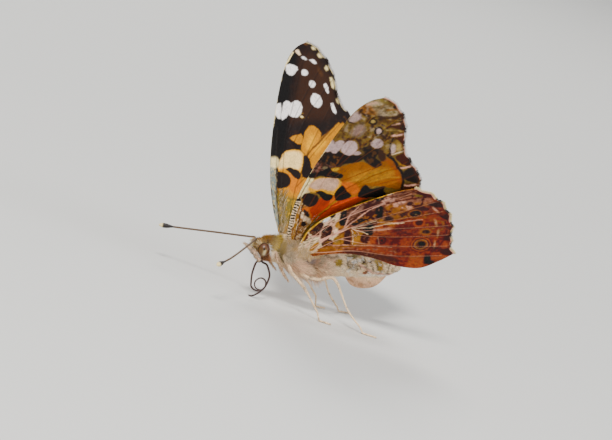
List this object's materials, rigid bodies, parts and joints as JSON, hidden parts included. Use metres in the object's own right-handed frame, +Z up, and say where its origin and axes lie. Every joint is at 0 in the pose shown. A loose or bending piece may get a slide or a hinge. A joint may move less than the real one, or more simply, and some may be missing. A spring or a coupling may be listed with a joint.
{
  "type": "painted lady butterfly",
  "caption": "Life-size painted lady butterfly, a still model that feeds with its wings half raised in a V, tongue reaching to the floor and patterned scalloped wings.",
  "frame": {"origin": "centre of the bounding box at floor level, under the butterfly, where its feet and tongue rest", "axes": "+X backward to the tail, -Y to the butterfly's left, which faces the picture's camera, +Z up"},
  "size_m": [0.0364, 0.0332, 0.0342],
  "materials": {
    "body_hair": "short olive and grey-cream hair",
    "abdomen_scales": "cream scales with olive patches",
    "eye_surface": "glossy banded eye",
    "palp_scales": "pinkish white scales and bristles",
    "feeler_cuticle": "dark ringed feeler with a pale tip",
    "tongue_cuticle": "dark reddish brown, smooth",
    "leg_scales": "cream scales",
    "forewing_scales": "orange, black and white wing scales",
    "hindwing_scales": "brown and cream marbled wing scales with eyespots"
  },
  "bodies": {
    "root": {"head": "body_hair", "thorax": "body_hair", "abdomen": "abdomen_scales", "eye_left": "eye_surface", "eye_right": "eye_surface", "palp_left": "palp_scales", "palp_right": "palp_scales", "antenna_left": "feeler_cuticle", "antenna_right": "feeler_cuticle", "galea_left": "tongue_cuticle", "galea_right": "tongue_cuticle", "foreleg_left": "leg_scales", "foreleg_right": "leg_scales", "midleg_left": "leg_scales", "midleg_right": "leg_scales", "hindleg_left": "leg_scales", "hindleg_right": "leg_scales", "forewing_left": "forewing_scales", "forewing_right": "forewing_scales", "hindwing_left": "hindwing_scales", "hindwing_right": "hindwing_scales"}
  },
  "joints": []
}
